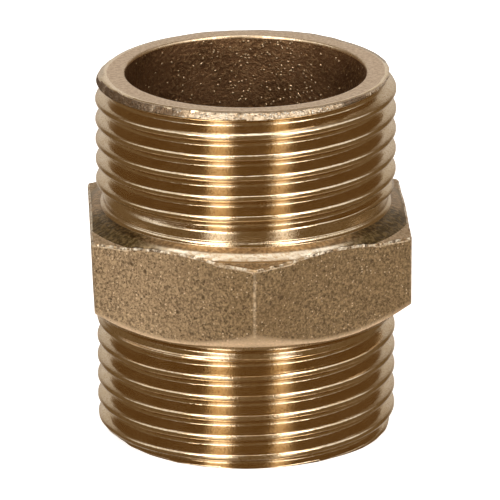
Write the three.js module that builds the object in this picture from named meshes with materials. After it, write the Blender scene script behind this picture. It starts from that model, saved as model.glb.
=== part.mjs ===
// Hex nipple: a bronze casting with a plain cast bore and a cast hexagon, turned and threaded
// G1 (ISO 228, 55 degree Whitworth form, right hand) at both ends.
// Millimetres, +Z up. The origin is the centre of the lower end face, and Z is the bore's axis.
// Two of the hexagon's corners point along -Y and +Y, and two of its flats face -X and +X.
import * as THREE from 'three';
import { ParametricGeometry } from 'three/addons/geometries/ParametricGeometry.js';
import { mergeVertices } from 'three/addons/utils/BufferGeometryUtils.js';

// The whole fitting
const LENGTH = 40.8;
const BORE_RADIUS = 13.3;
const COLUMNS = 72;                 // straight facets round the axis, a multiple of six

// Thread
const MAJOR_RADIUS = 33.249 / 2;
const PITCH = 2.309;
const THREAD_DEPTH = 1.479;
const LAND = 0.385;                 // axial width of the flats that stand for round crests and roots
const LOWER_CREST = 2.13;           // height of a crest of the lower thread on the +X side
const UPPER_CREST = 2.0165;         // the same for the upper thread, less a whole number of pitches

// Lead-in at each end face
const END_FACE_RADIUS = 15.75;
const LEAD_IN = 0.85;

// Relief grooves between the threads and the hexagon
const RELIEF_RADIUS = 15.85;
const LOWER_RELIEF_TOP = 13.5;
const UPPER_RELIEF_BOTTOM = 26.1;
const THREAD_END = 1.1;             // height of plain relief beside the hexagon
const RUN_OUT = 0.7;                // height over which crests and roots fade into the relief

// Hexagon, with a low round boss above it and a cast collar below
const ACROSS_FLATS = 35.5;
const BOSS_FOOT = { radius: 17.97, height: 24.72 };
const BOSS_SHOULDER = { radius: 17.25, height: 25.4 };
const BOSS_TOP = { radius: 16.05, height: 25.75 };
const CORNER_SLOPE = 0.1;           // fall of the hexagon's top towards its corners
const COLLAR_HEIGHT = 14.5;
const COLLAR_RADIUS = 17.6;
const COLLAR_STEP_RADIUS = 16.35;
const COLLAR_STEP = 0.65;
const BOTTOM_SLOPE = 38.8;          // degrees up from the collar to the corners

const BRONZE = { color: 0xa98a5e, roughness: 0.38, metalness: 1 };

const { clamp, mapLinear, degToRad } = THREE.MathUtils;
const ramp = (z, z0, z1, r0, r1) => mapLinear(clamp(z, z0, z1), z0, z1, r0, r1);

// One ridge of the thread: where each knot lies along the pitch, and its radius.
const ROOT_RADIUS = MAJOR_RADIUS - THREAD_DEPTH;
const HALF_LAND = LAND / PITCH / 2;
const RIDGE = [
  { at: -HALF_LAND, radius: MAJOR_RADIUS },
  { at: HALF_LAND, radius: MAJOR_RADIUS },
  { at: 0.5 - HALF_LAND, radius: ROOT_RADIUS },
  { at: 0.5 + HALF_LAND, radius: ROOT_RADIUS },
];

// The outline of one threaded length in the half-plane at a fraction of a turn from +X. The knots
// climb one pitch in one turn, and those past either end are drawn in to the end.
function threadedLength(turn, { crest, bottom, top, lowest, highest }) {
  const first = Math.floor((bottom - crest) / PITCH) - 1;
  const turns = Math.ceil((top - bottom) / PITCH) + 3;
  const knots = [];
  for (let k = 0; k < turns; k++) {
    for (const { at, radius } of RIDGE) {
      const z = crest + PITCH * (first + k + turn + at);
      knots.push(new THREE.Vector2(clamp(radius, lowest(z), highest(z)), z));
    }
  }
  const radiusAt = (z) => {
    const above = knots.findIndex((knot) => knot.y > z);
    const [a, b] = [knots[above - 1], knots[above]];
    return mapLinear(z, a.y, b.y, a.x, b.x);
  };
  const ends = [bottom, top].map((z) => new THREE.Vector2(radiusAt(z), z));
  const snap = 0.03;
  return knots.map((knot) => {
    if (knot.y < bottom + snap) return ends[0];
    return knot.y > top - snap ? ends[1] : knot;
  });
}

const lowerThread = {
  crest: LOWER_CREST,
  bottom: 0,
  top: LOWER_RELIEF_TOP,
  highest: (z) => Math.min(
    ramp(z, 0, LEAD_IN, END_FACE_RADIUS, MAJOR_RADIUS),
    ramp(z, LOWER_RELIEF_TOP - THREAD_END - RUN_OUT, LOWER_RELIEF_TOP - THREAD_END,
      MAJOR_RADIUS, RELIEF_RADIUS)),
  lowest: (z) => ramp(z, LOWER_RELIEF_TOP - RUN_OUT - 0.2, LOWER_RELIEF_TOP - 0.2,
    ROOT_RADIUS, RELIEF_RADIUS),
};

const upperThread = {
  crest: UPPER_CREST,
  bottom: UPPER_RELIEF_BOTTOM,
  top: LENGTH,
  highest: (z) => Math.min(
    ramp(z, LENGTH - LEAD_IN, LENGTH, MAJOR_RADIUS, END_FACE_RADIUS),
    ramp(z, UPPER_RELIEF_BOTTOM + THREAD_END, UPPER_RELIEF_BOTTOM + THREAD_END + RUN_OUT,
      RELIEF_RADIUS, MAJOR_RADIUS)),
  lowest: (z) => ramp(z, UPPER_RELIEF_BOTTOM + 0.4, UPPER_RELIEF_BOTTOM + 0.4 + RUN_OUT,
    RELIEF_RADIUS, ROOT_RADIUS),
};

// Distance from the axis to the hexagon's side, a fraction of a turn from +X.
function hexagonRadius(turn) {
  const sixth = 1 / 6;
  const fromFlat = turn - sixth * Math.round(turn / sixth);
  return ACROSS_FLATS / 2 / Math.cos(2 * Math.PI * fromFlat);
}

// The closed outline of the wall in one half-plane: out along the lower end face, up the outside
// and back down the bore.
function wallOutline(turn) {
  const point = (radius, z) => new THREE.Vector2(radius, z);
  const side = hexagonRadius(turn);
  const bottomEdge = COLLAR_HEIGHT + (side - COLLAR_RADIUS) * Math.tan(degToRad(BOTTOM_SLOPE));
  const foot = Math.min(BOSS_FOOT.radius, side);
  const cornerFall = CORNER_SLOPE * Math.max(side - BOSS_FOOT.radius, 0);
  return [
    point(BORE_RADIUS, 0),
    ...threadedLength(turn, lowerThread),
    point(COLLAR_STEP_RADIUS, COLLAR_HEIGHT - COLLAR_STEP),
    point(COLLAR_STEP_RADIUS, COLLAR_HEIGHT),
    point(COLLAR_RADIUS, COLLAR_HEIGHT),
    point(side, bottomEdge),
    point(side, BOSS_FOOT.height - cornerFall),
    point(foot, BOSS_FOOT.height),
    point(foot, mapLinear(foot, BOSS_FOOT.radius, BOSS_SHOULDER.radius,
      BOSS_FOOT.height, BOSS_SHOULDER.height)),
    point(BOSS_SHOULDER.radius, BOSS_SHOULDER.height),
    point(BOSS_TOP.radius, BOSS_TOP.height),
    ...threadedLength(turn, upperThread),
    point(BORE_RADIUS, LENGTH),
    point(BORE_RADIUS, 0),
  ];
}

function wallGeometry() {
  const outlines = [];
  for (let column = 0; column <= COLUMNS; column++) outlines.push(wallOutline(column / COLUMNS));
  const rows = outlines[0].length - 1;

  const surface = new ParametricGeometry((u, v, target) => {
    const outline = outlines[clamp(Math.round(u * COLUMNS), 0, COLUMNS)];
    const knot = outline[clamp(Math.round(v * rows), 0, rows)];
    const angle = 2 * Math.PI * u;
    target.set(knot.x * Math.cos(angle), knot.x * Math.sin(angle), knot.y);
  }, COLUMNS, rows);
  surface.deleteAttribute('normal');
  surface.deleteAttribute('uv');

  // Knots drawn in to an end coincide, so their triangles have collapsed and are left out.
  const merged = mergeVertices(surface, 1e-4);
  const index = [];
  for (let i = 0; i < merged.index.count; i += 3) {
    const [a, b, c] = [0, 1, 2].map((n) => merged.index.getX(i + n));
    if (a !== b && b !== c && c !== a) index.push(a, b, c);
  }
  merged.setIndex(index);
  merged.computeVertexNormals();
  return merged;
}

const body = new THREE.Mesh(wallGeometry(), new THREE.MeshStandardMaterial(BRONZE));
body.name = 'nipple_body';

const hexNipple = new THREE.Group();
hexNipple.add(body);

export default hexNipple;
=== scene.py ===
"""Hex nipple in cast bronze with two G1 male threads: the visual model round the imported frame."""
import math

import bpy
import numpy as np
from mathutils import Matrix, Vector


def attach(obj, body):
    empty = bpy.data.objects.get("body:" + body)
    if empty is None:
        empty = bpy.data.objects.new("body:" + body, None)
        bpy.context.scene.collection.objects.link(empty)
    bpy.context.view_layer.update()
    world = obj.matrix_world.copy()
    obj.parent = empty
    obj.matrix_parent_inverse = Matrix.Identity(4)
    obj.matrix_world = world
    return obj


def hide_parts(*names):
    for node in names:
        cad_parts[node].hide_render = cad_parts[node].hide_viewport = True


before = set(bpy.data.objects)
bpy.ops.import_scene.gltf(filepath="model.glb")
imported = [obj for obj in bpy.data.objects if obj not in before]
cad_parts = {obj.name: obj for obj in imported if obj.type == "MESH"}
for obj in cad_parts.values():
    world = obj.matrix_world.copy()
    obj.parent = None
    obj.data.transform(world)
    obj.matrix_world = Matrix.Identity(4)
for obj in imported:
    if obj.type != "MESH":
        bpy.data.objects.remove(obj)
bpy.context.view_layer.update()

MM = 0.001
VIEW_AZIMUTH_DEGREES = -2.65         # the camera stands a little to the -X side of the front corner
rng = np.random.default_rng(7)

# --- the fitting, in millimetres, as in the CAD model -------------------------------------------
LENGTH = 40.8
BORE_RADIUS = 13.3
BORE_EDGE = 0.32                     # rounding where the bore meets the end faces

MAJOR_RADIUS = 33.249 / 2
PITCH = 2.309
THREAD_DEPTH = 1.40
CREST_ROUNDING = 0.37
ROOT_ROUNDING = 0.33
ROOT_RADIUS = MAJOR_RADIUS - THREAD_DEPTH
LOWER_CREST = 2.10                   # height of a crest on the +X side, give or take whole pitches
UPPER_CREST = 1.975
FLANK_NORMAL = math.radians(62.5)
THREAD_DROOP = 0.06                  # the helices lie a little low at the front
RIM_ROOT_CUT = 0.45                  # how far inside the rim the roots start at an end face
RIM_ROOT_HEIGHT = 0.5                # and the height over which they get back to full size

# Over these heights the roots and the crests of each thread run out into its relief groove.
LOWER_ROOTS_END = (12.3, 12.9)
LOWER_CRESTS_END = (12.4, 12.9)
UPPER_ROOTS_START = (27.0, 27.85)
UPPER_CRESTS_START = (27.45, 27.7)
LOWER_THREAD_TOP = 13.2
UPPER_THREAD_BOTTOM = 26.3
RELIEF_RADIUS = 15.85
RUN_OUT_RADIUS = 16.12               # the land between the lower thread and its neck

# Outlines as (radius, height), from the bottom up. The boss's heights rise where a flat cuts it.
LOWER_SHOULDER = ((RUN_OUT_RADIUS, 13.25), (16.1, 13.36), (16.03, 13.48), (15.92, 13.57), (15.78, 13.61))
NECK_CORNER = (15.5, 13.5)
NECK = ((15.45, 13.56), (15.45, 14.3), (15.5, 14.36))
BOSS_FOOT_RADIUS = 18.62
BOSS_FOOT = 24.60
BOSS = ((BOSS_FOOT_RADIUS, BOSS_FOOT), (18.45, 24.69), (18.10, 24.85), (17.75, 25.02), (17.45, 25.20),
        (17.20, 25.37))
BOSS_TOP = ((17.0, 25.47), (16.26, 25.70))
UPPER_NECK = ((16.18, 25.72), (16.18, 25.80), (16.15, 25.93), (16.08, 26.05), (15.98, 26.14), (15.88, 26.20),
              (RELIEF_RADIUS, 26.24))

# The hexagon's faces from +X round: the casting's -X face lies low and leans in towards the bottom.
FACES_TOP = (17.75, 17.75, 17.75, 17.36, 17.75, 17.75)
FACES_BOTTOM = (17.75, 17.75, 17.75, 17.0, 17.75, 17.75)
CORNER_SHARPNESS = 170
CORNER_FALL = 0.04                   # fall of the corners' tops, per millimetre outside the boss
COLLAR_HEIGHT = 14.5
COLLAR_RADIUS = 17.6
COLLAR_TOP = 14.74
COLLAR_FLOOR = (0.25, 14.4)          # (distance inside the collar's radius, height)
COLLAR_EDGE = ((0.18, 14.41), (0.13, 14.46), (0.11, 14.66), (0.08, 14.70))
BOTTOM_SLOPE = math.tan(math.radians(38.8))

# --- columns round the axis: closer together at the hexagon's corners ----------------------------
PER_SIDE = 56
CROWDING = 0.6
side_step = np.linspace(-1, 1, PER_SIDE + 1)
side_angle = math.radians(30) * (side_step + CROWDING * np.sin(math.pi * side_step) / math.pi)
turn_angle = np.concatenate([side_angle[:-1] + math.radians(60 * k) for k in range(6)])
turn_angle = np.append(turn_angle, turn_angle[0] + 2 * math.pi)
TURN = turn_angle / (2 * math.pi)    # fractions of a turn from +X; the last column closes the first
COLUMNS = len(TURN)
toward_viewer = np.cos(turn_angle + math.radians(90 - VIEW_AZIMUTH_DEGREES))


def ramp(z, z0, z1, v0, v1):
    """v0 up to z0, v1 from z1, straight between them."""
    return v0 + (v1 - v0) * np.clip((z - z0) / (z1 - z0), 0, 1)


def round_the_axis(knots):
    """Periodic values at the columns, from (degrees from the camera towards +X, value) knots."""
    degrees = np.array([k[0] for k in knots], float)
    values = np.array([k[1] for k in knots], float)
    at = (np.degrees(turn_angle) + 90 - VIEW_AZIMUTH_DEGREES) % 360
    return np.interp(at, degrees % 360, values, period=360)


def ripple(waves, amplitude, lowest=2):
    """A small periodic unevenness round the axis."""
    total = np.zeros(COLUMNS)
    for k in range(lowest, lowest + waves):
        phase, size = rng.uniform(0, 2 * math.pi), rng.normal()
        total += size * np.sin(k * turn_angle + phase)
    return amplitude * total / math.sqrt(waves / 2)


def hexagon_radius(turn, apothems, sharpness):
    """Distance from the axis to a hexagon with six faces from +X round and rounded corners."""
    total = 0
    for k, apothem in enumerate(apothems):
        facing = np.cos(2 * math.pi * (turn - k / 6)) / apothem
        total = total + np.maximum(facing, 0) ** sharpness
    return total ** (-1 / sharpness)


# The end faces are raw casting and their rims wander. The upper one is cut back furthest in front.
RIM_CUT = 1.0                        # how far down the raw band at an end reaches
RIM_CUT_RADIUS = 16.5
RIM_CUT_SPREAD = 1.2                 # millimetres outwards per millimetre beyond the band
upper_rim = round_the_axis([
    (-180, 15.95), (-159, 15.83), (-147, 15.65), (-138, 15.47), (-123, 15.35), (-110, 15.48), (-104, 15.64),
    (-99, 15.94), (-90, 16.1), (-75, 16.08), (-50, 16.0), (-40, 15.9), (-30, 15.6), (-20, 15.35), (0, 15.2),
    (15, 15.25), (40, 15.45), (60, 15.6), (80, 15.72), (94, 15.8), (110, 15.92), (129, 16.04), (136, 16.15),
    (143, 16.4), (155, 16.36), (170, 16.1)])
upper_rim = np.minimum(upper_rim + ripple(30, 0.05, 9), RIM_CUT_RADIUS)
lower_rim = round_the_axis([
    (-180, 15.9), (-90, 15.8), (-60, 16.0), (-30, 16.4), (0, 16.5), (30, 16.4), (60, 16.1), (90, 15.9)])
lower_rim = np.minimum(lower_rim + ripple(30, 0.03, 9), RIM_CUT_RADIUS)


def rim_limit(rim, depth):
    """The largest radius the raw band leaves, at a depth below the end face."""
    inside = rim + (RIM_CUT_RADIUS - rim) * depth / RIM_CUT
    return np.where(depth < RIM_CUT, inside, RIM_CUT_RADIUS + (depth - RIM_CUT) * RIM_CUT_SPREAD)


def ridge_profile(per_arc=6, per_flank=2):
    """One pitch of the thread as (height in pitches, radius), from one crest to the next."""
    crest = [(CREST_ROUNDING * math.sin(f), MAJOR_RADIUS - CREST_ROUNDING * (1 - math.cos(f)))
             for f in np.linspace(-FLANK_NORMAL, FLANK_NORMAL, per_arc)]
    root = [(PITCH / 2 - ROOT_ROUNDING * math.sin(f), ROOT_RADIUS + ROOT_ROUNDING * (1 - math.cos(f)))
            for f in np.linspace(FLANK_NORMAL, -FLANK_NORMAL, per_arc)]
    knots = []
    for arc, after in ((crest, root[0]), (root, (crest[0][0] + PITCH, crest[0][1]))):
        knots += arc
        last = arc[-1]
        for k in range(1, per_flank + 1):
            t = k / (per_flank + 1)
            knots.append((last[0] + t * (after[0] - last[0]), last[1] + t * (after[1] - last[1])))
    return [(z / PITCH, r) for z, r in knots]


def threaded_length(crest, bottom, top, lowest, highest):
    """Rows of (radius, height) that climb one pitch in a turn, drawn in to bottom and top."""
    snap = 0.02          # rows this close to an end are moved onto it
    first = math.floor((bottom - crest) / PITCH) - 1
    turns = math.ceil((top - bottom) / PITCH) + 3
    heights, radii = [], []
    for k in range(turns):
        for at, radius in ridge_profile():
            z = crest + PITCH * (first + k + TURN + at) - THREAD_DROOP * toward_viewer
            heights.append(z)
            radii.append(np.clip(radius, lowest(z), highest(z)))
    heights, radii = np.array(heights), np.array(radii)
    for c in range(COLUMNS):
        z, r = heights[:, c].copy(), radii[:, c].copy()
        r_bottom, r_top = np.interp([bottom, top], z, r)
        low, high = z < bottom + snap, z > top - snap
        heights[low, c], radii[low, c] = bottom, r_bottom
        heights[high, c], radii[high, c] = top, r_top
    return list(zip(radii, heights))


def row(radius, height):
    """A radius and a height at every column, from numbers or from arrays."""
    return np.broadcast_to(radius, COLUMNS).astype(float), np.broadcast_to(height, COLUMNS).astype(float)


def between(a, b, count):
    """count rows strictly between rows a and b."""
    out = []
    for k in range(1, count + 1):
        t = k / (count + 1)
        out.append((a[0] + t * (b[0] - a[0]), a[1] + t * (b[1] - a[1])))
    return out


def span(a, b, count):
    """Rows a and b with count rows between them."""
    return [a] + between(a, b, count) + [b]


def outline(knots):
    """Rows through (radius, height) knots."""
    return [row(radius, height) for radius, height in knots]


SIDE = hexagon_radius(TURN, FACES_TOP, CORNER_SHARPNESS)
SIDE_BOTTOM = hexagon_radius(TURN, FACES_BOTTOM, CORNER_SHARPNESS)
for edge in (SIDE, SIDE_BOTTOM, upper_rim, lower_rim):
    edge[-1] = edge[0]
# The slope is never narrower than 0.1 mm, and the collar never stands out past a face.
bottom_edge = COLLAR_HEIGHT + np.maximum(SIDE_BOTTOM - COLLAR_RADIUS, 0.1) * BOTTOM_SLOPE
collar = np.minimum(COLLAR_RADIUS, SIDE_BOTTOM - 0.08)

lower_rows = threaded_length(
    LOWER_CREST, 0, LOWER_THREAD_TOP,
    lowest=lambda z: np.maximum(ramp(z, *LOWER_ROOTS_END, ROOT_RADIUS, RUN_OUT_RADIUS),
                                ramp(z, 0, RIM_ROOT_HEIGHT, lower_rim - RIM_ROOT_CUT, ROOT_RADIUS)),
    highest=lambda z: np.minimum(np.minimum(rim_limit(lower_rim, z), MAJOR_RADIUS),
                                 ramp(z, *LOWER_CRESTS_END, MAJOR_RADIUS, RUN_OUT_RADIUS)))
upper_rows = threaded_length(
    UPPER_CREST, UPPER_THREAD_BOTTOM, LENGTH,
    lowest=lambda z: np.maximum(ramp(z, *UPPER_ROOTS_START, RELIEF_RADIUS, ROOT_RADIUS),
                                ramp(z, LENGTH - RIM_ROOT_HEIGHT, LENGTH,
                                     ROOT_RADIUS, upper_rim - RIM_ROOT_CUT)),
    highest=lambda z: np.minimum(np.minimum(rim_limit(upper_rim, LENGTH - z), MAJOR_RADIUS),
                                 ramp(z, *UPPER_CRESTS_START, RELIEF_RADIUS, MAJOR_RADIUS)))

THREAD, SKIN, BOSS_FACE, BORE, END, COLLAR, BURR = range(7)
sections = []        # (material of the bands that start at these rows, rows), from the bottom up

lower_face = row(BORE_RADIUS + BORE_EDGE, 0)
sections.append((END, [lower_face] + between(lower_face, lower_rows[0], 4)))
sections.append((THREAD, lower_rows))

# The neck under the hexagon, and the turned collar.
neck_wobble = ripple(12, 0.01, 3)
neck_corner = row(NECK_CORNER[0], NECK_CORNER[1] + neck_wobble)
collar_floor = row(collar - COLLAR_FLOOR[0], COLLAR_FLOOR[1])
sections.append((THREAD, outline(LOWER_SHOULDER) + [neck_corner] + outline(NECK) + [collar_floor]))
sections.append((COLLAR, outline([(collar - inset, height) for inset, height in COLLAR_EDGE])))

# The slope from the collar out to the hexagon's sides, and the sides.
slope_start = row(collar, COLLAR_TOP)
slope_end = (SIDE_BOTTOM - 0.06, np.maximum(bottom_edge - 0.02, COLLAR_TOP + 0.02))
sections.append((SKIN, [slope_start] + between(slope_start, slope_end, 3)))
burr = np.minimum(np.abs(ripple(80, 0.07, 40)), 0.16)
burr_lean = np.minimum(ripple(80, 0.025, 40), 0.045)
boss_radii, boss_heights = np.array(BOSS)[::-1].T
foot_height = np.interp(np.minimum(BOSS_FOOT_RADIUS, SIDE), boss_radii, boss_heights)
corner_top = BOSS_FOOT - CORNER_FALL * np.maximum(SIDE - BOSS_FOOT_RADIUS, 0)
top_height = np.where(SIDE < BOSS_FOOT_RADIUS - 0.02, foot_height, corner_top)
side_low = (SIDE_BOTTOM, bottom_edge + 0.12)
side_high = (SIDE, top_height - 0.27)
sections.append((SKIN, [(SIDE_BOTTOM - 0.03, bottom_edge + 0.04)] + span(side_low, side_high, 16)))

# The hexagon's upper edge with its burr, and the facets at the corners.
edge_in = SIDE - 0.26
facet_edge = (edge_in, top_height + 0.3 * burr)
facet_foot = (np.minimum(BOSS_FOOT_RADIUS, edge_in),
              np.where(edge_in < BOSS_FOOT_RADIUS, facet_edge[1], BOSS_FOOT))
sections.append((BURR, [(SIDE, top_height - 0.20), (SIDE - 0.05 + burr_lean, top_height - 0.06),
                        (SIDE - 0.12, top_height + burr), (SIDE - 0.19, top_height + 0.6 * burr)]))
sections.append((SKIN, span(facet_edge, facet_foot, 2)))

# The boss, drawn in to the edge where a flat cuts it, and the relief groove above it.
boss_rows = [row(np.minimum(radius, edge_in), np.where(edge_in < radius, facet_edge[1], height))
             for radius, height in BOSS[1:]]
sections.append((BOSS_FACE, boss_rows + span(*outline(BOSS_TOP), 3)))
sections.append((THREAD, outline(UPPER_NECK)))
sections.append((THREAD, upper_rows))

# The upper end face, and the bore with its rounded edges as (radius, depth below an end face).
upper_face = row(BORE_RADIUS + BORE_EDGE, LENGTH)
bore_edge = [(BORE_RADIUS + BORE_EDGE * (1 - math.sin(f)), BORE_EDGE * (1 - math.cos(f)))
             for f in np.radians([18, 45, 72])]
sections.append((END, between(upper_rows[-1], upper_face, 4) + [upper_face]))
sections.append((COLLAR, outline([(radius, LENGTH - depth) for radius, depth in bore_edge])))
sections.append((BORE, span(row(BORE_RADIUS, LENGTH - BORE_EDGE), row(BORE_RADIUS, BORE_EDGE), 20)))
sections.append((COLLAR, outline(bore_edge[::-1])))


def build(sections):
    """One closed skin from the rows, with the quads that collapse left out."""
    same_place = 2e-4    # points are one when they round to the same multiples of this
    raw_margin = 0.04    # how near the rim's cut a face has to lie to be raw casting
    rows, bands = [], []
    for material, section in sections:
        rows += section
        bands += [material] * len(section)
    radius = np.array([r for r, _ in rows])
    height = np.array([z for _, z in rows])
    points = np.stack([radius * np.cos(turn_angle), radius * np.sin(turn_angle), height], axis=-1)
    count = len(rows)
    flat = points.reshape(-1, 3)
    _, first, inverse = np.unique(np.round(flat / same_place).astype(np.int64), axis=0,
                                  return_index=True, return_inverse=True)
    inverse = inverse.reshape(count, COLUMNS)
    here = np.arange(count)
    above = (here + 1) % count
    quads = np.stack([inverse[here][:, :-1], inverse[here][:, 1:],
                      inverse[above][:, 1:], inverse[above][:, :-1]], axis=-1)
    material = np.repeat(np.array(bands)[:, None], COLUMNS - 1, axis=1)

    # Where the raw rim cuts the thread off, the surface is casting and not turned.
    middle_r = (radius[here][:, :-1] + radius[above][:, 1:]) / 2
    middle_z = (height[here][:, :-1] + height[above][:, 1:]) / 2
    for rim, depth in ((upper_rim, LENGTH - middle_z), (lower_rim, middle_z)):
        cut = middle_r > rim_limit(rim[:-1], depth) - raw_margin
        material[(material == THREAD) & (depth < RIM_CUT) & cut] = END
    faces, kinds = [], []
    for quad, kind in zip(quads.reshape(-1, 4).tolist(), material.ravel().tolist()):
        corners = list(dict.fromkeys(quad))
        if len(corners) > 2:
            faces.append(corners)
            kinds.append(kind)
    return flat[first], faces, kinds


verts, faces, kinds = build(sections)
mesh = bpy.data.meshes.new("nipple_casting")
mesh.from_pydata((verts * MM).tolist(), [], faces)
mesh.polygons.foreach_set("material_index", kinds)
mesh.polygons.foreach_set("use_smooth", [True] * len(faces))
mesh.update()
mesh.validate()
body = bpy.data.objects.new("nipple_casting", mesh)
bpy.context.collection.objects.link(body)


# --- shader building ------------------------------------------------------------------------------
class Nodes:
    """Short calls that add shader nodes to a tree."""

    def __init__(self, tree):
        self.tree = tree

    def feed(self, socket, value):
        if isinstance(value, bpy.types.NodeSocket):
            self.tree.links.new(value, socket)
        elif isinstance(value, bpy.types.Node):
            self.tree.links.new(value.outputs[0], socket)
        else:
            socket.default_value = value

    def add(self, kind, **inputs):
        node = self.tree.nodes.new(kind)
        for name, value in inputs.items():
            self.feed(node.inputs[name.replace("_", " ")], value)
        return node

    def operate(self, kind, operation, values):
        node = self.tree.nodes.new(kind)
        node.operation = operation
        for socket, value in zip(node.inputs, values):
            self.feed(socket, value)
        return node

    def math(self, operation, *values):
        return self.operate("ShaderNodeMath", operation, values).outputs[0]

    def times(self, a, b):
        return self.math("MULTIPLY", a, b)

    def plus(self, a, b):
        return self.math("ADD", a, b)

    def minus(self, a, b):
        return self.math("SUBTRACT", a, b)

    def vector(self, operation, *values):
        node = self.operate("ShaderNodeVectorMath", operation, values)
        return node.outputs["Value" if operation == "DISTANCE" else "Vector"]

    def scaled(self, vector, factor):
        node = self.operate("ShaderNodeVectorMath", "SCALE", [vector])
        self.feed(node.inputs["Scale"], factor)
        return node.outputs["Vector"]

    def linear(self, value, low, high, to_low=0.0, to_high=1.0, smooth=False):
        """to_low below low, to_high above high."""
        node = self.tree.nodes.new("ShaderNodeMapRange")
        if smooth:
            node.interpolation_type = "SMOOTHSTEP"
        for name, v in (("Value", value), ("From Min", low), ("From Max", high),
                        ("To Min", to_low), ("To Max", to_high)):
            self.feed(node.inputs[name], v)
        return node.outputs[0]

    def step(self, value, low, high, to_low=0.0, to_high=1.0):
        return self.linear(value, low, high, to_low, to_high, smooth=True)

    def window(self, value, low, high, soft):
        """1 between low and high, 0 outside them, with soft edges."""
        up = self.step(value, low - soft / 2, low + soft / 2)
        down = self.step(value, high - soft / 2, high + soft / 2, 1.0, 0.0)
        return self.times(up, down)

    def noise(self, vector, scale, detail=2.0, roughness=0.5):
        node = self.add("ShaderNodeTexNoise", Vector=vector, Scale=scale, Detail=detail, Roughness=roughness)
        return node.outputs["Fac"]

    def cells(self, vector, scale, channel):
        """Distance from the middle of the nearest cell, and a value from 0 to 1 drawn for that cell."""
        node = self.add("ShaderNodeTexVoronoi", Vector=vector, Scale=scale)
        drawn = self.add("ShaderNodeSeparateColor", Color=node.outputs["Color"])
        return node.outputs["Distance"], drawn.outputs[channel]

    def mix(self, factor, a, b):
        """Colour a where factor is 0, colour b where it is 1."""
        node = self.tree.nodes.new("ShaderNodeMix")
        node.data_type = "RGBA"
        self.feed(node.inputs["Factor"], factor)
        for socket, colour in ((node.inputs[6], a), (node.inputs[7], b)):
            self.feed(socket, (*colour, 1) if isinstance(colour, tuple) else colour)
        return node.outputs[2]

    def near(self, here, centre, reach, soft, ragged):
        """1 within reach of the centre and 0 beyond it, with an edge made ragged by a noise."""
        distance = self.plus(self.vector("DISTANCE", here, centre), self.times(ragged, 3.0))
        return self.step(distance, reach, reach + soft, 1.0, 0.0)

    def bump(self, height, depth, normal=None):
        """Height from 0 to 1, over a depth in millimetres."""
        node = self.add("ShaderNodeBump", Height=height, Distance=depth * MM)
        if normal is not None:
            self.feed(node.inputs["Normal"], normal)
        return node.outputs["Normal"]

    def tinted(self, level, colour, base):
        """base + level * colour."""
        return self.vector("ADD", self.scaled(colour, level), base)


class Surface(Nodes):
    """A material of the fitting, with the place on it in millimetres."""

    def __init__(self, name, metallic):
        self.material = bpy.data.materials.new(name)
        self.material.use_nodes = True
        super().__init__(self.material.node_tree)
        self.shader = self.tree.nodes["Principled BSDF"]
        self.shader.inputs["Metallic"].default_value = metallic
        self.here = self.scaled(self.add("ShaderNodeTexCoord").outputs["Object"], 1 / MM)
        self.x, y, self.z = self.add("ShaderNodeSeparateXYZ", Vector=self.here).outputs
        self.radius = self.math("SQRT", self.plus(self.times(self.x, self.x), self.times(y, y)))

    def finish(self, colour, roughness, normal):
        self.feed(self.shader.inputs["Base Color"], colour)
        self.feed(self.shader.inputs["Roughness"], roughness)
        self.feed(self.shader.inputs["Normal"], normal)
        return self.material


def turned_bronze():
    """Bright threads and relief grooves, with fine tool marks that run round the axis."""
    n = Surface("turned_bronze", 1.0)
    marks = n.noise(n.vector("MULTIPLY", n.here, (0.35, 0.35, 7.0)), 1.6, 3, 0.6)
    cloud = n.noise(n.here, 0.32, 4, 0.6)
    grain = n.noise(n.here, 5.0, 2, 0.6)
    colour = n.mix(n.step(cloud, 0.38, 0.68), (0.92, 0.79, 0.59), (0.86, 0.71, 0.48))
    colour = n.mix(n.times(n.step(grain, 0.48, 0.66), 0.8), colour, (0.70, 0.52, 0.31))

    # Painted shade: the flanks that face down are darkened in colour.
    normal = n.add("ShaderNodeNewGeometry").outputs["Normal"]
    upward = n.add("ShaderNodeSeparateXYZ", Vector=normal).outputs[2]
    colour = n.mix(n.step(upward, -0.80, -0.45, 0.27, 0.0), colour, (0.36, 0.24, 0.12))
    roughness = n.linear(marks, 0.3, 0.7, 0.09, 0.15)
    return n.finish(colour, roughness, n.bump(grain, 0.009, n.bump(marks, 0.012)))


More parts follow.
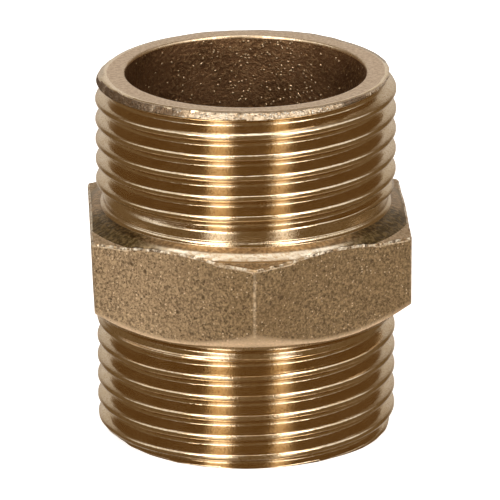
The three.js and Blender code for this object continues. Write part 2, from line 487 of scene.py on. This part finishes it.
def cast_skin():
    """Blasted skin of the hexagon: sandy grain, scattered pits, bright edges that are partly worn and partly
    painted highlight.
    """
    n = Surface("cast_skin", 0.55)
    grain = n.noise(n.here, 3.4, 3, 0.7)
    fine = n.noise(n.here, 8.0, 2, 0.6)
    cloud = n.noise(n.here, 0.16, 3, 0.55)

    # Pits in three sizes, their outlines bent by a noise, and bright specks of painted glint.
    swirl = n.add("ShaderNodeTexNoise", Vector=n.here, Scale=1.1).outputs["Color"]
    bent = n.vector("ADD", n.here, swirl)
    hole = 0.0
    for scale, share, reach in ((0.8, 0.84, 0.26), (1.9, 0.54, 0.28), (3.3, 0.50, 0.32)):
        distance, drawn = n.cells(bent, scale, 0)
        pit = n.times(n.step(distance, reach / 2, reach, 1.0, 0.0), n.step(drawn, share, share + 0.06))
        hole = n.math("MAXIMUM", hole, pit)
    distance, drawn = n.cells(n.here, 3.4, 1)
    speck = n.times(n.step(drawn, 0.86, 0.92), n.step(distance, 0.15, 0.4, 1.0, 0.0))

    # Distance below the top edge and above the bottom one, on the sides and on the corner facets.
    outside = n.math("MAXIMUM", n.minus(n.radius, BOSS_FOOT_RADIUS), 0.0)
    inside = n.math("MAXIMUM", n.minus(BOSS_FOOT_RADIUS, n.radius), 0.0)
    top = n.plus(n.minus(BOSS_FOOT, n.times(outside, CORNER_FALL)), n.times(inside, 0.95))
    below_top = n.minus(top, n.z)
    bottom = n.plus(COLLAR_HEIGHT, n.times(n.minus(n.radius, COLLAR_RADIUS), BOTTOM_SLOPE))
    # Painted light from below: the band over the bottom slope and the foot of the sides is painted bright.
    band = n.times(n.step(n.minus(n.z, bottom), 0.0, 0.7, 1.0, 0.0), n.linear(n.radius, 18.6, 20.0, 1.0, 0.5))

    # The sides are paler towards -X: painted shade darkens them towards +X. A bright band of painted light
    # runs along the bottom edge.
    colour = n.mix(n.step(grain, 0.36, 0.66), (0.19, 0.133, 0.074), (0.57, 0.43, 0.262))
    colour = n.mix(n.times(n.step(cloud, 0.42, 0.66), 0.3), colour, (0.34, 0.235, 0.125))
    colour = n.mix(n.times(n.step(fine, 0.5, 0.7), 0.4), colour, (0.70, 0.53, 0.33))
    shade = n.mix(n.linear(n.x, -11.0, -2.0), (1.0, 1.0, 1.0), (0.70, 0.66, 0.57))
    colour = n.vector("MULTIPLY", colour, shade)
    colour = n.mix(n.times(hole, 0.85), colour, (0.10, 0.06, 0.028))
    # Painted glints: the bright specks.
    colour = n.mix(n.times(speck, 0.65), colour, (1.0, 0.82, 0.58))
    colour = n.mix(n.times(band, n.linear(grain, 0.36, 0.64, 1.0, 0.5)), colour, (0.93, 0.72, 0.49))

    # The top edge and the corners are bright in broken patches, partly from wear and partly painted
    # highlight.
    broken = n.step(n.noise(n.here, 1.7, 3, 0.7), 0.40, 0.62)
    corner_wear_and_highlight = n.times(n.step(n.radius, 20.35, 20.42), 0.5)
    top_wear_and_highlight = n.window(below_top, -0.05, 0.32, 0.12)
    wear_and_highlight = n.times(n.math("MAXIMUM", corner_wear_and_highlight, top_wear_and_highlight), n.linear(broken, 0, 1, 0.35, 1.0))
    wear_and_highlight = n.times(wear_and_highlight, n.minus(1.0, band))
    colour = n.mix(wear_and_highlight, colour, (0.95, 0.80, 0.58))

    # The facets at the corners, outside the boss: mottled and dark at the front, paler at the sides.
    facet = n.times(n.step(below_top, 0.03, 0.12, 1.0, 0.0), n.step(n.radius, 18.0, 18.2))
    speckle = n.step(grain, 0.4, 0.6)
    mottled = n.mix(speckle, (0.16, 0.092, 0.032), (0.36, 0.235, 0.10))
    pale = n.mix(speckle, (0.34, 0.25, 0.145), (0.52, 0.39, 0.25))
    tint = n.mix(n.step(n.math("ABSOLUTE", n.x), 6.0, 15.0), mottled, pale)
    colour = n.mix(n.times(facet, 0.9), colour, tint)

    height = n.minus(n.plus(grain, n.times(fine, 0.35)), n.times(hole, 1.1))
    normal = n.bump(n.times(height, n.linear(band, 0, 1, 1.0, 0.35)), 0.11)
    return n.finish(colour, n.linear(wear_and_highlight, 0, 1, 0.62, 0.42), normal)


def burred_edge():
    """Broken bright burr along the hexagon's upper edge, its bright patches partly painted highlight."""
    n = Surface("burred_edge", 1.0)
    lumps = n.noise(n.here, 1.9, 2, 0.6)
    fine = n.noise(n.here, 5.0, 2, 0.6)
    broken = n.step(n.noise(n.here, 0.9, 3, 0.7), 0.40, 0.56)
    # The bright patches are partly painted highlight.
    colour = n.mix(broken, (0.62, 0.46, 0.28), (1.0, 0.94, 0.80))
    colour = n.mix(n.times(n.step(lumps, 0.60, 0.66), 0.8), colour, (0.16, 0.10, 0.05))
    roughness = n.linear(fine, 0.3, 0.7, 0.28, 0.5)
    return n.finish(colour, roughness, n.bump(n.plus(lumps, n.times(fine, 0.4)), 0.35))


def turned_collar():
    """Narrow turned edges: under the hexagon, and at both ends of the bore."""
    n = Surface("turned_collar", 1.0)
    grain = n.noise(n.here, 2.2, 3, 0.6)
    colour = n.mix(n.step(grain, 0.35, 0.65), (0.92, 0.78, 0.58), (0.74, 0.58, 0.38))
    return n.finish(colour, n.linear(grain, 0.3, 0.7, 0.24, 0.36), n.bump(grain, 0.03))


def boss_face():
    """The boss under the upper thread: rough casting, with a bright skimmed lip at the front, its brightness
    partly painted highlight.
    """
    n = Surface("boss_face", 1.0)
    grain = n.noise(n.here, 2.2, 4, 0.65)
    chatter = n.noise(n.vector("MULTIPLY", n.here, (1.0, 1.0, 0.3)), 1.1, 3, 0.6)
    shoulder = n.step(n.radius, 17.15, 17.35)
    front = n.step(n.math("ABSOLUTE", n.x), 7.5, 11.5, 1.0, 0.0)
    colour = n.mix(n.step(grain, 0.35, 0.65), (0.30, 0.21, 0.115), (0.62, 0.46, 0.28))
    colour = n.mix(shoulder, colour, (0.36, 0.27, 0.155))
    # The lip at the front: partly a skimmed finish and partly painted highlight.
    lip = n.mix(n.step(grain, 0.46, 0.66), (1.0, 0.93, 0.78), (0.80, 0.66, 0.46))
    # Painted shade: the lip turns dark where the boss falls away to its foot.
    lip = n.mix(n.step(n.radius, 18.0, 18.3), lip, (0.34, 0.225, 0.105))
    colour = n.mix(n.times(shoulder, front), colour, lip)

    # Dark patches to the left and the right of the front.
    dark_patch = 0.0
    for centre in ((-15.2, -8.2, 25.0), (15.2, -8.8, 25.0)):
        dark_patch = n.math("MAXIMUM", dark_patch, n.near(n.here, centre, 5.4, 3.4, grain))
    dark_patch_colour = n.mix(n.step(grain, 0.42, 0.62), (0.10, 0.068, 0.020), (0.32, 0.23, 0.10))
    colour = n.mix(n.times(dark_patch, 0.9), colour, dark_patch_colour)
    roughness = n.linear(grain, 0.3, 0.7, 0.30, 0.46)
    return n.finish(colour, roughness, n.bump(n.plus(grain, n.times(chatter, 0.8)), 0.09))


def cast_bore():
    """Dark raw bore with a coarse skin and golden glints, partly painted highlight, likelier at the back near
    the top; painted shade darkens it lower down and towards -X.
    """
    n = Surface("cast_bore", 1.0)
    grain = n.noise(n.here, 2.6, 3, 0.7)
    cloud = n.noise(n.here, 0.22, 3, 0.5)
    # The glints are partly painted highlight, with a lower roughness and a raised bump.
    distance, drawn = n.cells(n.here, 2.3, 1)
    cluster = n.near(n.here, (3.2, 12.8, 36.0), 6.0, 4.0, n.noise(n.here, 0.5, 2))
    rarity = n.minus(n.linear(n.noise(n.here, 0.28, 2), 0.40, 0.62, 0.98, 0.74), n.times(cluster, 0.36))
    glint = n.times(n.step(n.minus(drawn, rarity), 0.0, 0.06), n.step(distance, 0.16, 0.38, 1.0, 0.0))
    colour = n.mix(n.step(cloud, 0.4, 0.65), (0.34, 0.205, 0.112), (0.21, 0.122, 0.063))
    colour = n.mix(n.times(n.step(grain, 0.48, 0.64), 0.7), colour, (0.56, 0.38, 0.21))
    # Painted shade: darker lower down in the bore and towards -X.
    painted_bore_shade = n.math("MAXIMUM", n.linear(n.z, 27, 39, 0.9, 0.0), n.linear(n.x, -11, -4, 0.45, 0.0))
    colour = n.mix(painted_bore_shade, colour, (0.15, 0.085, 0.04))
    colour = n.mix(glint, colour, (1.0, 0.84, 0.58))
    roughness = n.linear(glint, 0, 1, 0.52, 0.22)
    return n.finish(colour, roughness, n.bump(n.plus(grain, n.times(glint, 0.7)), 0.16))


def cast_end():
    """Raw end faces and rims: pale and fine-grained, the rims with bright broken edges and dark scabs."""
    n = Surface("cast_end", 1.0)
    grain = n.noise(n.here, 2.4, 3, 0.65)
    coarse = n.noise(n.here, 0.9, 4, 0.7)
    from_middle = n.math("ABSOLUTE", n.minus(n.z, LENGTH / 2))
    rim = n.step(from_middle, LENGTH / 2 - 0.10, LENGTH / 2 - 0.02, 1.0, 0.0)
    colour = n.mix(n.step(grain, 0.33, 0.66), (0.70, 0.56, 0.41), (0.92, 0.79, 0.63))
    rim_colour = n.mix(n.step(coarse, 0.42, 0.6), (0.76, 0.59, 0.39), (1.0, 0.90, 0.72))
    colour = n.mix(n.times(rim, 0.7), colour, rim_colour)

    # Crumbs on the rims, some dark and about half of them pale; the pale ones are partly painted glints.
    distance, drawn = n.cells(n.here, 3.0, 0)
    inside = n.step(distance, 0.3, 0.5, 1.0, 0.0)
    dark_crumb = n.times(n.times(n.step(drawn, 0.20, 0.26, 1.0, 0.0), rim), inside)
    pale_crumb = n.times(n.times(n.step(drawn, 0.50, 0.56), rim), inside)
    colour = n.mix(n.times(dark_crumb, 0.8), colour, (0.26, 0.17, 0.09))
    colour = n.mix(pale_crumb, colour, (1.0, 0.95, 0.84))

    # Dark scabs on the upper rim: three left of the front and one right of it.
    scab = 0.0
    for centre, reach in (((-13.4, -8.6, 40.2), 5.6), ((-9.4, -12.9, 39.9), 2.6),
                          ((11.6, -11.4, 40.2), 3.0), ((-16.4, -2.0, 40.2), 3.4)):
        scab = n.math("MAXIMUM", scab, n.near(n.here, centre, reach, 1.6, coarse))
    scab = n.times(scab, rim)
    colour = n.mix(n.times(scab, 0.85), colour, (0.16, 0.10, 0.055))
    roughness = n.plus(n.linear(rim, 0, 1, 0.52, 0.34), n.times(scab, 0.2))
    height = n.plus(n.plus(grain, coarse), n.times(pale_crumb, 0.3))
    return n.finish(colour, roughness, n.bump(n.times(height, n.linear(rim, 0, 1, 0.6, 3.4)), 0.07))


# In the order of the slots THREAD, SKIN, BOSS_FACE, BORE, END, COLLAR and BURR.
for make in (turned_bronze, cast_skin, boss_face, cast_bore, cast_end, turned_collar, burred_edge):
    mesh.materials.append(make())

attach(body, "root")
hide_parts("nipple_body")

# --- floor ------------------------------------------------------------------------------------------
FLOOR_HALF = 3.0
FLOOR_GLOW = 0.75                    # enough to make the floor white, like the photograph's ground
floor_mesh = bpy.data.meshes.new("floor")
floor_mesh.from_pydata([(-FLOOR_HALF, -FLOOR_HALF, 0), (FLOOR_HALF, -FLOOR_HALF, 0),
                        (FLOOR_HALF, FLOOR_HALF, 0), (-FLOOR_HALF, FLOOR_HALF, 0)], [], [(0, 1, 2, 3)])
floor = bpy.data.objects.new("floor", floor_mesh)
bpy.context.collection.objects.link(floor)
floor_mat = bpy.data.materials.new("floor")
floor_mat.use_nodes = True
floor_shader = floor_mat.node_tree.nodes["Principled BSDF"]
floor_shader.inputs["Base Color"].default_value = (0.9, 0.9, 0.9, 1)
floor_shader.inputs["Roughness"].default_value = 0.9
floor_shader.inputs["Specular IOR Level"].default_value = 0.0
floor_shader.inputs["Emission Color"].default_value = (1, 1, 1, 1)
floor_shader.inputs["Emission Strength"].default_value = FLOOR_GLOW
floor_mesh.materials.append(floor_mat)
floor.visible_glossy = False
floor.visible_shadow = False

# --- camera, from the least-squares fit to the photograph -----------------------------------------
VIEW_AZIMUTH = math.radians(VIEW_AZIMUTH_DEGREES)
VIEW_ELEVATION = math.radians(18.86)
VIEW_DISTANCE = 0.6435
CAMERA_ROLL = math.radians(-0.1)
AIM = Vector((0.0, 0.0, 20.37 * MM))
LENS = 416.5
SENSOR = 36
PHOTO_PIXELS = 500
SHIFT_PIXELS = (4.1, -3.9)


def from_front(azimuth, elevation):
    """Unit vector towards a direction: azimuth 0 is -Y, positive towards +X."""
    return Vector((math.sin(azimuth) * math.cos(elevation), -math.cos(azimuth) * math.cos(elevation),
                   math.sin(elevation)))


camera = bpy.data.objects.new("camera", bpy.data.cameras.new("camera"))
bpy.context.collection.objects.link(camera)
camera.location = AIM + VIEW_DISTANCE * from_front(VIEW_AZIMUTH, VIEW_ELEVATION)
camera.rotation_euler = (AIM - camera.location).to_track_quat("-Z", "Y").to_euler()
camera.rotation_euler.rotate_axis("Z", CAMERA_ROLL)
camera.data.lens = LENS
camera.data.sensor_width = SENSOR
camera.data.shift_x = SHIFT_PIXELS[0] / PHOTO_PIXELS
camera.data.shift_y = SHIFT_PIXELS[1] / PHOTO_PIXELS
camera.data.clip_start = 0.01
bpy.context.scene.camera = camera

# --- light ------------------------------------------------------------------------------------------
ROOM = (0.158, 0.100, 0.048)
STRIP_UPPER_COLOUR = (1.0, 0.90, 0.80)
STRIP_LOWER_COLOUR = (1.0, 0.84, 0.64)
STRIP_LOWER_LEVEL = 0.84
STRIPS = ((-1, 13.2, 27.8, 1.0), (1, 23.6, 33.8, 0.90))      # (side, inner edge, outer edge, brightness)


def studio_world():
    """A dim warm room that camera rays see as white. Directions are in degrees from the camera's azimuth.

    It is lit by two tall strips at the front, wider and brighter high up, an overhead softbox, two side
    fills, a pale wall behind and a small window in it.
    """
    world = bpy.data.worlds.new("studio")
    world.use_nodes = True
    tree = world.node_tree
    tree.nodes.clear()
    n = Nodes(tree)
    direction = n.add("ShaderNodeTexCoord").outputs["Generated"]
    x, y, z = n.add("ShaderNodeSeparateXYZ", Vector=direction).outputs
    azimuth = n.times(n.math("ARCTAN2", x, n.times(y, -1.0)), 180 / math.pi)
    azimuth = n.minus(azimuth, VIEW_AZIMUTH_DEGREES)
    elevation = n.times(n.math("ARCSINE", z), 180 / math.pi)
    away = n.math("ABSOLUTE", azimuth)

    wall = n.times(n.step(away, 132, 160, 0.0, 0.36), n.step(elevation, 26, 40, 1.0, 0.1))
    overhead = n.step(elevation, 64, 78, 0.0, 1.45)
    fill = n.times(n.times(n.window(away, 55, 118, 30), n.window(elevation, 30, 66, 12)), 0.75)
    window = n.times(n.times(n.step(away, 156, 172), n.window(elevation, 7, 33, 8)), 0.2)
    white = n.plus(n.plus(n.plus(wall, overhead), fill), window)
    light = n.tinted(white, (1, 1, 1), ROOM)

    # How far the strips' inner and outer edges move outwards, high up and low down.
    inner_shift = n.plus(n.linear(elevation, 20, 70, 0, 14), n.linear(elevation, -51, -8, 3.5, 0))
    outer_shift = n.plus(n.linear(elevation, 16, 34, 0, 26), n.linear(elevation, -51, -8, 7.5, 0))
    height = n.window(elevation, -62, 75, 8)
    high = n.step(elevation, -42, -8)
    level = n.plus(n.linear(elevation, -8, 3, 1.12, 2.1), n.linear(elevation, 14, 34, 0.0, 1.9))
    for side, inner, outer, brightness in STRIPS:
        from_middle = n.times(azimuth, side)
        within = n.step(n.minus(from_middle, inner_shift), inner - 1, inner + 1)
        without = n.step(n.minus(from_middle, outer_shift), outer - 1, outer + 2, 1.0, 0.0)
        strip = n.times(n.times(n.times(within, without), height), brightness)
        upper = n.times(strip, high)
        lower = n.times(n.minus(strip, upper), STRIP_LOWER_LEVEL)
        light = n.tinted(n.times(upper, level), STRIP_UPPER_COLOUR, light)
        light = n.tinted(lower, STRIP_LOWER_COLOUR, light)
    lit = n.add("ShaderNodeBackground", Color=light)
    seen = n.add("ShaderNodeBackground", Color=(1, 1, 1, 1))
    mix = n.add("ShaderNodeMixShader")
    n.feed(mix.inputs[0], n.add("ShaderNodeLightPath").outputs["Is Camera Ray"])
    n.feed(mix.inputs[1], lit)
    n.feed(mix.inputs[2], seen)
    n.add("ShaderNodeOutputWorld", Surface=mix)
    bpy.context.scene.world = world


studio_world()

bpy.context.scene.view_settings.view_transform = "Standard"
